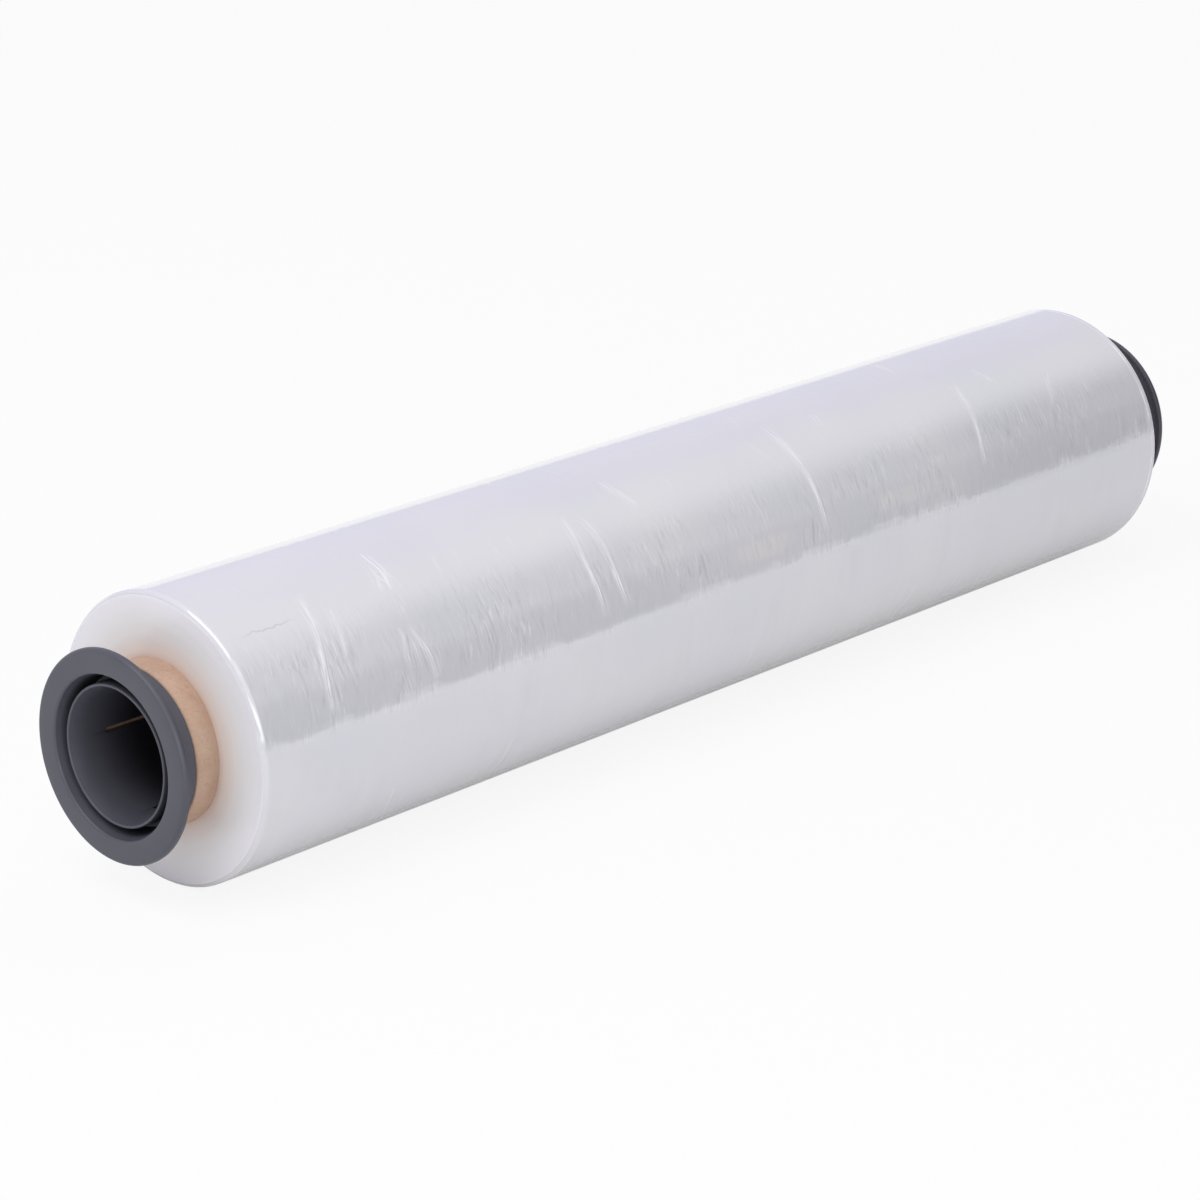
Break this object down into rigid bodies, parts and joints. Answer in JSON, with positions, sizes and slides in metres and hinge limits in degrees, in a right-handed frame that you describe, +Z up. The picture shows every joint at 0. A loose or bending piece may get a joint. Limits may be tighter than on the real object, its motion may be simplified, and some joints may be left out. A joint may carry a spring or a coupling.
{
  "type": "stretch wrap roll",
  "caption": "Roll of clear stretch film on a cardboard core, lying on its side, with a flanged plastic grip plug that turns in each end of the core.",
  "frame": {"origin": "on the floor under the middle of the whole length, where the flat spot of the film rests", "axes": "+X along the roll towards the right end plug, +Z up, +Y away from the viewer of the picture"},
  "size_m": [0.548, 0.1034, 0.1032],
  "materials": {
    "film": "clear stretch film wound up: milky, glossy outside, satin cut ends",
    "core_board": "bare brown spiral-wound board",
    "plug_plastic": "dark grey moulded plastic, satin"
  },
  "bodies": {
    "roll": {"film_roll": "film", "core_tube": "core_board"},
    "left_plug": {"left_end_plug": "plug_plastic"},
    "right_plug": {"right_end_plug": "plug_plastic"}
  },
  "joints": [
    {"name": "left_plug_spin", "type": "hinge", "parent": "roll", "child": "left_plug", "pos_m": [-0.235, 0, 0.0514], "axis": [1, 0, 0], "continuous": true},
    {"name": "right_plug_spin", "type": "hinge", "parent": "roll", "child": "right_plug", "pos_m": [0.235, 0, 0.0514], "axis": [1, 0, 0], "continuous": true}
  ]
}
